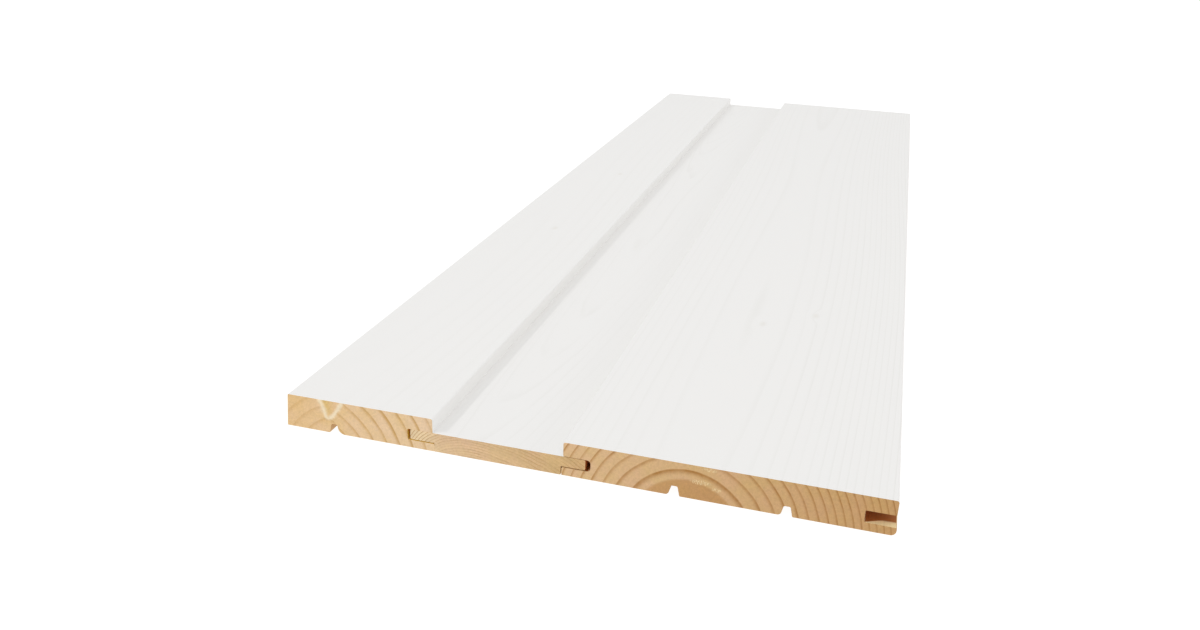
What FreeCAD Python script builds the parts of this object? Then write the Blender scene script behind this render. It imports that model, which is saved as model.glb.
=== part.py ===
import FreeCAD, Part
import os
from enum import IntEnum
from types import SimpleNamespace

import Sketcher
from FreeCAD import Vector

# Tongue and groove panel section, lying on its back.
# Two grooved boards stand either side of a thin strip that has a tongue on each edge.
# The strip lies level with the boards at the back, so its face is sunk between theirs.
# X runs across the boards, Y along them and Z up from the back.
# The origin is the middle of the panel's footprint, on the plane of the back.

# Driving sizes in millimetres: the alias of the cell, its value and what it measures.
SIZES = [
    ("panel_length", 700, "length of every piece"),
    ("board_thickness", 14, "planed thickness of a grooved board"),
    ("face_width", 120, "face of the full board, between its two face lips"),
    ("cut_face_width", 62.2, "face left on the cut board, from the rip cut to its face lip"),
    ("rip_lean", 1.2, "how far the rip cut leans in from the back to the face"),
    ("strip_thickness", 8, "thickness of the strip"),
    ("shoulder_width", 50.6, "body of the strip, between the shoulders of its tongues"),
    ("tongue_length", 10, "reach of a tongue past its shoulder"),
    ("tongue_thickness", 4.3, "thickness of a tongue, level with the strip's face"),
    ("tongue_face_clearance", 0.1, "play between a tongue and the face lip above it"),
    ("tongue_back_clearance", 0.4, "play between a tongue and the back lip below it"),
    ("tongue_end_clearance", 1.2, "how much deeper a groove is than a tongue is long"),
    ("open_shoulder_gap", 0.8, "gap from the strip's shoulder to the full board's back lip"),
    ("back_lip_reach", 0.6, "how far a back lip stands out past the face lip"),
    ("kerf_from_joint", 42.3, "kerf's middle to the face lip at the strip"),
    ("kerf_from_free_edge", 37, "second kerf's middle to the face lip at the free edge"),
    ("kerf_depth", 4, "depth of a relief kerf in the back"),
    ("kerf_mouth_width", 4.2, "width of a kerf at the back"),
    ("kerf_top_width", 2.4, "width of a kerf at its top"),
    ("face_arris_radius", 0.8, "rounding along the face at a moulded edge"),
    ("cut_arris_radius", 0.3, "rounding along a sawn edge"),
    ("face_lip_radius", 0.25, "rounding under a face lip, at the mouth of a groove"),
    ("back_lip_radius", 0.5, "rounding over a back lip, at the mouth of a groove"),
    ("joint_back_radius", 0.4, "rounding at the back of a back lip that meets the strip"),
    ("free_back_radius", 2, "rounding at the back of the free back lip"),
    ("groove_floor_radius", 1, "rounding at the floor of a groove"),
    ("tongue_tip_radius", 0.6, "rounding at the tip of a tongue"),
    ("strip_back_radius", 0.4, "rounding at the back of the strip's shoulders"),
    ("kerf_top_radius", 0.6, "rounding at the top of a kerf"),
    ("kerf_lead_radius", 1.4, "rounding at the mouth of a kerf, on the side of the strip"),
    ("kerf_trail_radius", 0.4, "rounding at the mouth of a kerf, on the other side"),
]

NEAR = 1e-4


class Mark(IntEnum):
    """Sketcher's own numbers for the two axes and for the ends of a line."""

    LEVEL_AXIS = -1
    UPRIGHT_AXIS = -2
    START = 1
    END = 2


class Measure:
    """Length in millimetres that carries its formula, in the sheet's names, with its value."""

    def __init__(self, formula, value):
        self.formula = formula
        self.value = value

    def __add__(self, other):
        return Measure(f"({self.formula} + {other.formula})", self.value + other.value)

    def __sub__(self, other):
        return Measure(f"({self.formula} - {other.formula})", self.value - other.value)

    def __mul__(self, factor):
        return Measure(f"({self.formula} * {factor})", self.value * factor)

    def at_most(self, other):
        return Measure(f"min({self.formula}; {other.formula})", min(self.value, other.value))


ZERO = Measure("0", 0.0)
size = SimpleNamespace(**{alias: Measure(f"Sizes.{alias}", value) for alias, value, _ in SIZES})

# Lengths that several pieces share.
tongue_low = size.strip_thickness - size.tongue_thickness
groove_low = tongue_low - size.tongue_back_clearance
groove_high = size.strip_thickness + size.tongue_face_clearance
groove_depth = size.tongue_length + size.tongue_end_clearance
cut_width = size.rip_lean + size.cut_face_width + size.back_lip_reach
full_width = size.face_width + size.back_lip_reach * 2
strip_start = cut_width - size.tongue_length
full_start = cut_width + size.shoulder_width + size.open_shoulder_gap
panel_width = full_start + full_width

doc = FreeCAD.newDocument("TongueAndGroovePanel")


def make_sheet():
    """Writes the driving sizes to the spreadsheet, one row for each."""
    sheet = doc.addObject("Spreadsheet::Sheet", "Sizes")
    for row, (alias, value, meaning) in enumerate(SIZES, 1):
        sheet.set(f"A{row}", meaning)
        sheet.set(f"B{row}", str(value))
        sheet.setAlias(f"B{row}", alias)
    doc.recompute()


def new_body(label, start):
    """Body of one piece, whose own x = 0 lies at start, measured from the panel's cut edge."""
    body = doc.addObject("PartDesign::Body", label)
    body.Label = label
    body.setExpression("Placement.Base.x", (start - panel_width * 0.5).formula)
    return body


def section_sketch(body, name):
    """Empty sketch across the piece, on the body's own XZ plane."""
    sketch = body.newObject("Sketcher::SketchObject", name)
    plane = next(f for f in body.Origin.OriginFeatures if f.Role == "XZ_Plane")
    sketch.AttachmentSupport = [(plane, "")]
    sketch.MapMode = "FlatFace"
    return sketch


def draw_loop(sketch, corners):
    """Joins corners of (x, z) by lines into a closed loop."""
    points = [Vector(x.value, z.value, 0) for x, z in corners]
    count = len(points)
    for i in range(count):
        sketch.addGeometry(Part.LineSegment(points[i], points[(i + 1) % count]), False)
    for i in range(count):
        joint = (i, Mark.END, (i + 1) % count, Mark.START)
        sketch.addConstraint(Sketcher.Constraint("Coincident", *joint))


def tie(sketch, kind, line, name, measure):
    """Ties the start of a line to a distance from the origin, along x or up z."""
    if measure is ZERO:
        axis = Mark.LEVEL_AXIS if kind == "DistanceY" else Mark.UPRIGHT_AXIS
        sketch.addConstraint(Sketcher.Constraint("PointOnObject", line, Mark.START, axis))
        return
    origin = (Mark.LEVEL_AXIS, Mark.START)
    distance = Sketcher.Constraint(kind, *origin, line, Mark.START, measure.value)
    sketch.renameConstraint(sketch.addConstraint(distance), name)
    sketch.setExpression(f"Constraints.{name}", measure.formula)


def draw_section(sketch, runs):
    """Draws a closed section of level and upright runs, in turn, the first of them level.

    Each run is its name and its height, if level, or its x, if upright.
    """
    places = [place for _, place in runs]
    corners = []
    for i in range(0, len(runs), 2):
        corners.append((places[i - 1], places[i]))
        corners.append((places[i + 1], places[i]))
    draw_loop(sketch, corners)
    for i, (name, place) in enumerate(runs):
        level = i % 2 == 0
        sketch.addConstraint(Sketcher.Constraint("Horizontal" if level else "Vertical", i))
        tie(sketch, "DistanceY" if level else "DistanceX", i, name, place)


def pad_along(body, sketch):
    """Runs a section the length of the panel, half each way from the middle."""
    pad = body.newObject("PartDesign::Pad", "Section")
    pad.Profile = sketch
    pad.SideType = "Symmetric"
    pad.setExpression("Length", size.panel_length.formula)
    doc.recompute()


def cut_along(body, name, corners):
    """Cuts a section with corners of (x, z) out of a piece, along its whole length."""
    sketch = section_sketch(body, f"{name}Section")
    draw_loop(sketch, corners)
    for i, (x, z) in enumerate(corners):
        tie(sketch, "DistanceX", i, f"corner_{i}_x", x)
        tie(sketch, "DistanceY", i, f"corner_{i}_z", z)
    before = body.Tip.Shape.Volume
    cut = body.newObject("PartDesign::Pocket", name)
    cut.Profile = sketch
    cut.SideType = "Symmetric"
    cut.setExpression("Length", size.panel_length.formula)
    doc.recompute()
    if cut.Shape.Volume >= before:
        raise RuntimeError(f"{name} cuts nothing")


def cut_kerf(body, name, middle):
    """Cuts a relief kerf, a little narrower at its top, along the back at x = middle."""
    half_mouth = size.kerf_mouth_width * 0.5
    half_top = size.kerf_top_width * 0.5
    cut_along(body, name, [
        (middle - half_mouth, ZERO),
        (middle + half_mouth, ZERO),
        (middle + half_top, size.kerf_depth),
        (middle - half_top, size.kerf_depth),
    ])


def long_edges(shape, corners):
    """Names of the edges that run along the piece at corners of (x, z)."""
    names = []
    for number, edge in enumerate(shape.Edges, 1):
        first, last = (vertex.Point for vertex in edge.Vertexes)
        along = abs(first.x - last.x) < NEAR and abs(first.z - last.z) < NEAR
        for x, z in corners:
            if along and abs(first.x - x.value) < NEAR and abs(first.z - z.value) < NEAR:
                names.append(f"Edge{number}")
    if len(names) != len(corners):
        raise RuntimeError(f"found {len(names)} edges at {len(corners)} corners")
    return names


def round_edges(body, name, radius, corners):
    """Rounds the long edges of a piece at corners of (x, z)."""
    base = body.Tip
    fillet = body.newObject("PartDesign::Fillet", name)
    fillet.Base = (base, long_edges(base.Shape, corners))
    fillet.setExpression("Radius", radius.formula)
    doc.recompute()


def round_groove(body, name, face_lip, back_lip, floor, back_radius):
    """Rounds the lips and the floor of an edge groove, each given by its x.

    The back lip gets back_radius at the back, as far as its thickness lets it.
    """
    mouth_radius = size.back_lip_radius.at_most(groove_low * 0.3)
    back_radius = back_radius.at_most(groove_low * 0.6)
    floor_radius = size.groove_floor_radius.at_most((groove_high - groove_low) * 0.4)
    round_edges(body, f"{name}Arris", size.face_arris_radius, [(face_lip, size.board_thickness)])
    round_edges(body, f"{name}FaceLip", size.face_lip_radius, [(face_lip, groove_high)])
    round_edges(body, f"{name}BackLip", mouth_radius, [(back_lip, groove_low)])
    round_edges(body, f"{name}Back", back_radius, [(back_lip, ZERO)])
    round_edges(body, f"{name}Floor", floor_radius, [(floor, groove_low), (floor, groove_high)])


def round_kerf(body, name, middle, lead):
    """Rounds a kerf at x = middle, with its larger mouth radius on the side lead, -1 or 1."""
    half_mouth = size.kerf_mouth_width * (0.5 * lead)
    half_top = size.kerf_top_width * 0.5
    top_radius = size.kerf_top_radius.at_most(size.kerf_top_width * 0.4)
    top = [(middle + half_top, size.kerf_depth), (middle - half_top, size.kerf_depth)]
    round_edges(body, f"{name}Top", top_radius, top)
    round_edges(body, f"{name}Lead", size.kerf_lead_radius, [(middle + half_mouth, ZERO)])
    round_edges(body, f"{name}Trail", size.kerf_trail_radius, [(middle - half_mouth, ZERO)])


def make_cut_board():
    """Grooved board that is ripped to part of its width, with its groove towards +X."""
    body = new_body("cut_grooved_board", ZERO)
    face_lip = size.rip_lean + size.cut_face_width
    floor = cut_width - groove_depth
    kerf = face_lip - size.kerf_from_joint
    sketch = section_sketch(body, "CutBoardSection")
    draw_section(sketch, [
        ("back", ZERO),
        ("back_lip", cut_width),
        ("groove_low", groove_low),
        ("groove_floor", floor),
        ("groove_high", groove_high),
        ("face_lip", face_lip),
        ("face", size.board_thickness),
        ("rip_cut", ZERO),
    ])
    pad_along(body, sketch)
    rip_edge = (size.rip_lean, size.board_thickness)
    cut_along(body, "RipCut", [(ZERO, ZERO), rip_edge, (ZERO, size.board_thickness)])
    cut_kerf(body, "Kerf", kerf)
    round_groove(body, "Groove", face_lip, cut_width, floor, size.joint_back_radius)
    round_kerf(body, "Kerf", kerf, 1)
    round_edges(body, "RipArris", size.cut_arris_radius, [(ZERO, ZERO), rip_edge])
    return body


def make_strip():
    """Thin strip with a tongue on each edge, level with its face."""
    body = new_body("tongued_strip", strip_start)
    far_shoulder = size.tongue_length + size.shoulder_width
    far_tip = far_shoulder + size.tongue_length
    sketch = section_sketch(body, "StripSection")
    draw_section(sketch, [
        ("back", ZERO),
        ("far_shoulder", far_shoulder),
        ("far_tongue_low", tongue_low),
        ("far_tip", far_tip),
        ("face", size.strip_thickness),
        ("near_tip", ZERO),
        ("near_tongue_low", tongue_low),
        ("near_shoulder", size.tongue_length),
    ])
    pad_along(body, sketch)
    tip_radius = size.tongue_tip_radius.at_most(size.tongue_thickness * 0.4)
    back_radius = size.strip_back_radius.at_most(tongue_low * 0.6)
    tips = [(x, z) for x in (ZERO, far_tip) for z in (tongue_low, size.strip_thickness)]
    round_edges(body, "TongueTips", tip_radius, tips)
    round_edges(body, "ShoulderBacks", back_radius, [(size.tongue_length, ZERO), (far_shoulder, ZERO)])
    return body


def make_full_board():
    """Grooved board of full width, with a groove in both edges and two kerfs in its back."""
    body = new_body("full_grooved_board", full_start)
    near_lip = size.back_lip_reach
    far_lip = near_lip + size.face_width
    far_floor = full_width - groove_depth
    joint_kerf = near_lip + size.kerf_from_joint
    free_kerf = far_lip - size.kerf_from_free_edge
    sketch = section_sketch(body, "FullBoardSection")
    draw_section(sketch, [
        ("back", ZERO),
        ("far_back_lip", full_width),
        ("far_groove_low", groove_low),
        ("far_groove_floor", far_floor),
        ("far_groove_high", groove_high),
        ("far_face_lip", far_lip),
        ("face", size.board_thickness),
        ("near_face_lip", near_lip),
        ("near_groove_high", groove_high),
        ("near_groove_floor", groove_depth),
        ("near_groove_low", groove_low),
        ("near_back_lip", ZERO),
    ])
    pad_along(body, sketch)
    cut_kerf(body, "JointKerf", joint_kerf)
    cut_kerf(body, "FreeKerf", free_kerf)
    round_groove(body, "NearGroove", near_lip, ZERO, groove_depth, size.joint_back_radius)
    round_groove(body, "FarGroove", far_lip, full_width, far_floor, size.free_back_radius)
    round_kerf(body, "JointKerf", joint_kerf, -1)
    round_kerf(body, "FreeKerf", free_kerf, -1)
    return body


def check_document(pieces):
    """Stops the build if a feature failed or a piece isn't one sound solid."""
    doc.recompute()
    for item in doc.Objects:
        if "Invalid" in item.State or "Error" in item.State:
            raise RuntimeError(f"{item.Label} failed: {item.State}")
    for piece in pieces:
        shape = piece.Shape
        if shape.isNull() or not shape.isValid() or len(shape.Solids) != 1:
            raise RuntimeError(f"{piece.Label} isn't one sound solid")


make_sheet()
panel = [make_cut_board(), make_strip(), make_full_board()]
check_document(panel)
os.makedirs("parts", exist_ok=True)
for piece in panel:
    piece.Shape.exportStep(f"parts/{piece.Label}.step")
    box = piece.Shape.BoundBox
    print(f"{piece.Label}: {piece.Shape.Volume:.0f} mm3, x {box.XMin:.2f} to {box.XMax:.2f},"
          f" y {box.YMin:.2f} to {box.YMax:.2f}, z {box.ZMin:.2f} to {box.ZMax:.2f}")
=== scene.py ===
"""Section of tongue and groove lining: two grooved pine boards and the strip that joins them.

The three pieces are built over their CAD solids. Their faces carry satin white paint, and their ends,
grooves and backs are bare pine. Sizes are in millimetres unless a comment says otherwise.
"""

import logging
import math
from dataclasses import dataclass
from enum import Enum, IntEnum
from typing import Any

import bmesh
import bpy
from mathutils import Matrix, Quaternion, Vector


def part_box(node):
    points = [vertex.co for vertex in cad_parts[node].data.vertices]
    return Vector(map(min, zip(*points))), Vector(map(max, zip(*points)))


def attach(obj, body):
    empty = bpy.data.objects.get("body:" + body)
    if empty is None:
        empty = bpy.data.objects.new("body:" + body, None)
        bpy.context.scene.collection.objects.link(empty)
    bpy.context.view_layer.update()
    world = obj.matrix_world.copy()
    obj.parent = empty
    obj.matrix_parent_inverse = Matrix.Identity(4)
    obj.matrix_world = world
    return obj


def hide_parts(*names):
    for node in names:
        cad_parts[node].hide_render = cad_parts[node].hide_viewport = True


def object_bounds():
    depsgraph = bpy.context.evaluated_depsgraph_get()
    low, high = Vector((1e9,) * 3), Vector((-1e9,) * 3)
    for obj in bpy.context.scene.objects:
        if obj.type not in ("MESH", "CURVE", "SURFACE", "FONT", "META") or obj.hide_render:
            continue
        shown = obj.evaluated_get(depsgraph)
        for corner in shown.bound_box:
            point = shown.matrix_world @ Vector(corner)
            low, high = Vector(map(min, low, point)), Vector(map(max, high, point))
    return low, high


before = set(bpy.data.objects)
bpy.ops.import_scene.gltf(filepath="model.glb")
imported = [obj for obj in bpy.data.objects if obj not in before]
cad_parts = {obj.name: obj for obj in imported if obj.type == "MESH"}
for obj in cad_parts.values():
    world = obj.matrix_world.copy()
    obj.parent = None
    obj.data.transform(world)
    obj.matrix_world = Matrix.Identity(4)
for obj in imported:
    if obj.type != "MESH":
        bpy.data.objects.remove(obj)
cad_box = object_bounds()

log = logging.getLogger("panel")

Socket = bpy.types.NodeSocket

MM = 0.001
BODY = "root"
SHADER = "Principled BSDF"

# Inputs of a Mix node that mixes two colours, and its output
SHARE = 0
UNDER = 6
OVER = 7
MIXED = 2

# Results of a MapRange node that falls from 1 to 0
FALLING = {"To Min": 1.0, "To Max": 0.0}

# Middle of a noise, how far it mostly strays from there, and the values that nearly all of it lies between
NOISE_MIDDLE = 0.5
NOISE_SWING = 0.25
NOISE_SPREAD = (0.3, 0.7)

# Least part of a normal along an axis for a face that looks that way, and for one that does so squarely
FACING = 0.5
SQUARE = 0.9


def linear(shade: str) -> tuple[float, float, float, float]:
    """Turns an sRGB hex colour into linear light.

    Args:
        shade: six hex digits.

    Returns:
        Red, green and blue in linear light, and an alpha of 1.
    """
    parts = [int(shade[start:start + 2], 16) / 255 for start in (0, 2, 4)]
    curve = [part / 12.92 if part <= 0.04045 else ((part + 0.055) / 1.055) ** 2.4 for part in parts]
    return (*curve, 1.0)


WHITE = linear("FFFFFF")


def new_material(name: str) -> bpy.types.Material:
    """Makes a material with nodes.

    Args:
        name: its name.

    Returns:
        The material.
    """
    material = bpy.data.materials.new(name)
    material.use_nodes = True
    return material


def add_object(name: str, shape: bmesh.types.BMesh) -> bpy.types.Object:
    """Makes an object from a finished bmesh, and frees the bmesh.

    Args:
        name: the object's name.
        shape: the bmesh.

    Returns:
        The object, in the scene.
    """
    mesh = bpy.data.meshes.new(name)
    shape.to_mesh(mesh)
    shape.free()
    made = bpy.data.objects.new(name, mesh)
    bpy.context.scene.collection.objects.link(made)
    return made


# Wood and paint


class Finish(Enum):
    """The surfaces of a piece, by their material index."""

    PAINT = 0
    BARE = 1
    END = 2
    GROOVE = 3
    SHELF = 4
    KERF = 5
    RIP = 6


@dataclass(frozen=True)
class Branch:
    """Branch that grew up through a piece and shows as a knot on its face and back.

    Args:
        x: its middle across the panel.
        y: its middle along the panel.
        radius: half the knot's width.
    """

    x: float
    y: float
    radius: float


@dataclass(frozen=True)
class SpikeKnot:
    """Branch that the crosscut at the front end met along its length, so it shows there as a wedge.

    Args:
        apex_x: its point across the panel.
        apex_z: its point above the back.
        face_x: its middle at the face.
        face_z: height of the face.
        face_half_width: half its width at the face.
        left_rings: share of the summer wood's colour that the rings on its left keep.
        left_part: how far the rings on its left are parted from it.
        right_part: how far the rings on its right are parted from it.
        part_before: how far left of its middle the left part ends.
        part_after: how far right of its middle the right part starts.
        part_length: distance along the piece over which the rings close again.
        ring_blur: half the width over which the rings' colour changes at its middle.
        flare: power by which it widens from its point, below 1 for sides that bulge.
        ragged_width: width of the steps in its ragged sides.
        raggedness: how far those steps go.
        edge_blur: width of its soft edge.
        rim_width: how far its pale rim reaches on either side of its edge.
        rim_share: share of the rim's colour at the edge.
        fade_under: how far under its point it starts to show.
        fade_over: how far over its point it shows fully.
        length: distance along the piece over which it fades out.
        half_blur: half the width over which its left colour turns to its right one.
    """

    apex_x: float
    apex_z: float
    face_x: float
    face_z: float
    face_half_width: float
    left_rings: float
    left_part: float
    right_part: float
    part_before: float = 3.5
    part_after: float = 2.5
    part_length: float = 30.0
    ring_blur: float = 3.0
    flare: float = 0.75
    ragged_width: float = 3.0
    raggedness: float = 1.2
    edge_blur: float = 0.8
    rim_width: float = 2.0
    rim_share: float = 0.95
    fade_under: float = 0.8
    fade_over: float = 0.4
    length: float = 20.0
    half_blur: float = 1.5


@dataclass(frozen=True)
class TornPatch:
    """Patch of the front end where the saw tore the fibres into short pale flecks.

    Args:
        x: its middle across the panel.
        z: its middle above the back.
        half_width: half its size across the panel.
        half_height: half its size up the end.
        core: share of its size that is covered fully, before the flecks thin out.
        fleck_width: width of a fleck.
        fleck_height: height of a fleck.
        fleck_spread: values of the flecks' noise between which they come up.
        depth: how far along the piece the tear goes.
    """

    x: float
    z: float
    half_width: float
    half_height: float
    core: float = 0.7
    fleck_width: float = 0.45
    fleck_height: float = 1.0
    fleck_spread: tuple[float, float] = (0.46, 0.58)
    depth: float = 0.5


@dataclass(frozen=True)
class Growth:
    """How a piece lay in the log that it was sawn from, and the colours of its wood.

    Args:
        pith_x: middle of the log across the panel, at the front end.
        pith_z: middle of the log above the back, at the front end.
        ring_start: radius at which one ring ends.
        ring_rate: rings in a millimetre of radius there.
        ring_gain: further rings in a millimetre for each millimetre outwards.
        early: sRGB colour of a ring's pale spring wood.
        blush: sRGB colour of the pinker patches in it.
        late: sRGB colour of a ring's dark summer wood.
        left_tint: sRGB colour that the wood is multiplied by at the piece's left edge.
        right_tint: sRGB colour that the wood is multiplied by at the piece's right edge.
        painted_groove_shade: sRGB colour painted on the wood inside the grooves and on the strip's tongue
            tips, as painted shade for the little light that reaches there. The cut board's is a bright
            yellow, since its narrow gap is deeply shaded already.
        waver: how far a ring strays from a circle.
        fade: share of the summer wood's colour that comes and goes along a ring.
        crisp_to: place across the panel up to which the wood is crisp: paler, and with all the colour of
            its summer wood.
        strong_year: the ring with the darkest summer wood, counted outwards from ring_start.
        telegraph: how strongly the rings show through the paint on the piece's left half.
        right_telegraph: how strongly they show through it at the piece's right edge.
        bend_x: how far the log sways aside along the piece.
        bend_z: how far the log sways up along the piece.
        rise: how far the pith climbs in each millimetre along the piece.
        right_reach: how many times further the rings reach to the right of the pith than to the left.
        year_tone: how much lighter and darker runs of a few years are.
        heart_radius: radius of the darker heart of the log, which shows no rings.
        branches: knots on the face and back.
        spike: wedge-shaped knot on the front end, if there is one.
        torn: patches of torn fibres on the front end.
    """

    pith_x: float
    pith_z: float
    ring_start: float
    ring_rate: float
    ring_gain: float
    early: str
    blush: str
    late: str
    left_tint: str
    right_tint: str
    painted_groove_shade: str
    waver: float
    fade: float
    crisp_to: float
    strong_year: int
    telegraph: float
    right_telegraph: float
    bend_x: float
    bend_z: float
    rise: float
    right_reach: float = 1.0
    year_tone: float = 0.0
    heart_radius: float = 0.0
    branches: tuple[Branch, ...] = ()
    spike: SpikeKnot | None = None
    torn: tuple[TornPatch, ...] = ()


@dataclass
class Wiring:
    """Node tree of a material or of the room, with the means to add to it."""

    tree: bpy.types.NodeTree

    def feed(self, node: bpy.types.Node, inputs: dict[int | str, Any]) -> None:
        """Links or sets a node's inputs.

        Args:
            node: the node to feed.
            inputs: an output to link or a value to set, for each input's name or number.
        """
        for key, value in inputs.items():
            if isinstance(value, Socket):
                self.tree.links.new(value, node.inputs[key])
            else:
                node.inputs[key].default_value = value

    def add(self, kind: str, inputs: dict[int | str, Any], out: int | str = 0, **settings: Any) -> Socket:
        """Adds a node with its settings and links.

        Args:
            kind: the node's type without its ShaderNode prefix.
            inputs: what each input is fed, as in feed.
            out: name or number of the output that is wanted.
            settings: the node's own properties.

        Returns:
            The wanted output.
        """
        node = self.tree.nodes.new(f"ShaderNode{kind}")
        for name, value in settings.items():
            setattr(node, name, value)
        self.feed(node, inputs)
        return node.outputs[out]


@dataclass
class Grain:
    """Rings and fibres of one piece as shader nodes, shared by its paint and its bare wood.

    The pattern is solid, so the face, the back and both ends of a piece cut the same rings. The fibres of
    pine are a few hundredths of a millimetre wide, too fine to show, so they are drawn about ten times as
    coarse.

    Args:
        wires: the material's node tree.
        growth: how the piece lay in its log.
        low: the piece's lowest corner.
        high: the piece's highest corner.
        sway_x_length: distance along the piece for one radian of the log's bend aside.
        sway_z_length: distance along the piece for one radian of its bend up.
        stray_width: size across the piece of the rings' strayings from a circle.
        stray_length: size of those strayings along the piece.
        swell_reach: how many of its radii away from a branch the rings start to bend round it.
        swell: how many of its radii they have bent at its middle.
        knot_length: how many times longer than wide a knot is.
        crisp_blur: half the width of the change from crisp wood to the rest.
        summer_start: share of a ring's width at which its summer wood starts.
        summer_peak: share of a ring's width at which its summer wood is darkest.
        gather: power that draws the summer wood's colour together at its dark end.
        strong_gather: that power in the strong year.
        vigour: least and largest share of the summer wood's colour that a year has.
        strong_vigour: share that the strong year has.
        heart_margin: width at the edge of the heart over which the rings come up.
        fade_width: width of the patches in which the summer wood fades.
        fade_spread: values of those patches between which it fades.
        patch_length: how many times longer than wide a patch is.
        fibre_width: width of a fibre as drawn.
        fibre_length: length of a fibre as drawn.
    """

    wires: Wiring
    growth: Growth
    low: Vector
    high: Vector
    sway_x_length: float = 140.0
    sway_z_length: float = 90.0
    stray_width: float = 22.0
    stray_length: float = 260.0
    swell_reach: float = 4.5
    swell: float = 1.6
    knot_length: float = 2.0
    crisp_blur: float = 3.0
    summer_start: float = 0.45
    summer_peak: float = 0.93
    gather: float = 2.6
    strong_gather: float = 1.8
    vigour: tuple[float, float] = (0.55, 0.82)
    strong_vigour: float = 0.9
    heart_margin: float = 1.8
    fade_width: float = 5.0
    fade_spread: tuple[float, float] = (0.4, 0.6)
    patch_length: float = 20.0
    fibre_width: float = 0.45
    fibre_length: float = 45.0

    def __post_init__(self) -> None:
        """Wires the place of each point in millimetres, and the patterns that follow from it."""
        add = self.wires.add
        spot = add("TexCoord", {}, "Object")
        self.place = add("VectorMath", {0: spot, "Scale": 1 / MM}, operation="SCALE")
        self.x = add("SeparateXYZ", {0: self.place}, "X")
        self.y = self.x.node.outputs["Y"]
        self.z = self.x.node.outputs["Z"]
        self.along = add("Math", {0: self.y, 1: self.low.y}, operation="SUBTRACT")
        self.radius = self.ring_radius()
        self.count = self.ring_count()
        self.phase = add("Math", {0: self.count}, operation="FRACT")
        crisp_to = self.growth.crisp_to
        ends = {"From Min": crisp_to - self.crisp_blur, "From Max": crisp_to + self.crisp_blur}
        self.crisp = add("MapRange", {"Value": self.x, **ends, **FALLING})
        self.late = self.summer_wood()
        self.fibre = self.fibres()

    def sway(self, reach: float, length: float, start: float | Socket) -> Socket:
        """Adds a slow bend of the log to a place, with none at the front end.

        Args:
            reach: how far the bend goes.
            length: distance along the piece for one radian of the bend.
            start: the place without the bend.

        Returns:
            The place with the bend.
        """
        add = self.wires.add
        turn = add("Math", {0: self.along, 1: 1 / length}, operation="MULTIPLY")
        wave = add("Math", {0: turn}, operation="SINE")
        return add("Math", {0: wave, 1: reach, 2: start}, operation="MULTIPLY_ADD")

    def ring_radius(self) -> Socket:
        """Measures how far each point is from the pith, as the rings have it.

        Returns:
            The distance.
        """
        add = self.wires.add
        growth = self.growth
        climb = add("Math", {0: self.along, 1: growth.rise, 2: growth.pith_z}, operation="MULTIPLY_ADD")
        pith_x = self.sway(growth.bend_x, self.sway_x_length, growth.pith_x)
        pith_z = self.sway(growth.bend_z, self.sway_z_length, climb)
        across = add("Math", {0: self.x, 1: pith_x}, operation="SUBTRACT")
        above = add("Math", {0: self.z, 1: pith_z}, operation="SUBTRACT")
        drawn_in = add("Math", {0: across, 1: 1 / growth.right_reach}, operation="MULTIPLY")
        across = add("Math", {0: across, 1: drawn_in}, operation="MINIMUM")
        if growth.spike:
            across = self.part_rings(growth.spike, across)
        arm = add("CombineXYZ", {"X": across, "Z": above})
        radius = add("VectorMath", {0: arm}, "Value", operation="LENGTH")
        rate = (1 / self.stray_width, 1 / self.stray_length, 1 / self.stray_width)
        slow = add("VectorMath", {0: self.place, 1: rate}, operation="MULTIPLY")
        stray = add("TexNoise", {"Vector": slow, "Scale": 1.0, "Detail": 4.0})
        stray = add("Math", {0: stray, 1: NOISE_MIDDLE}, operation="SUBTRACT")
        gain = growth.waver / NOISE_SWING
        radius = add("Math", {0: stray, 1: gain, 2: radius}, operation="MULTIPLY_ADD")
        for branch in growth.branches:
            near = self.nearness(branch, self.swell_reach)
            bent = self.swell * branch.radius
            radius = add("Math", {0: near, 1: bent, 2: radius}, operation="MULTIPLY_ADD")
        return radius

    def ring_count(self) -> Socket:
        """Counts the rings from ring_start out to each point.

        Returns:
            The number of rings, with the part of the last one.
        """
        add = self.wires.add
        growth = self.growth
        outward = add("Math", {0: self.radius, 1: growth.ring_start}, operation="SUBTRACT")
        rate = add("Math", {0: outward, 1: growth.ring_gain, 2: growth.ring_rate}, operation="MULTIPLY_ADD")
        return add("Math", {0: outward, 1: rate}, operation="MULTIPLY")

    def part_rings(self, spike: SpikeKnot, across: Socket) -> Socket:
        """Turns the rings up against a spike knot at the front end, fading out along the piece.

        Args:
            spike: the knot.
            across: distance from the pith across the panel.

        Returns:
            The distance that the rings have there.
        """
        add = self.wires.add
        ends = {"From Min": spike.face_x - spike.part_before, "From Max": spike.face_x + spike.part_after}
        parts = {"To Min": spike.left_part, "To Max": spike.right_part}
        apart = add("MapRange", {"Value": self.x, **ends, **parts}, interpolation_type="SMOOTHSTEP")
        aside = add("Math", {0: self.x, 1: spike.face_x}, operation="SUBTRACT")
        aside = add("Math", {0: aside}, operation="ABSOLUTE")
        aside = add("Math", {0: aside, 1: apart}, operation="ADD")
        fade = add("MapRange", {"Value": self.along, "From Max": spike.part_length, **FALLING},
                   interpolation_type="SMOOTHSTEP")
        return add("Mix", {"Factor": fade, "A": across, "B": aside})

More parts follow.
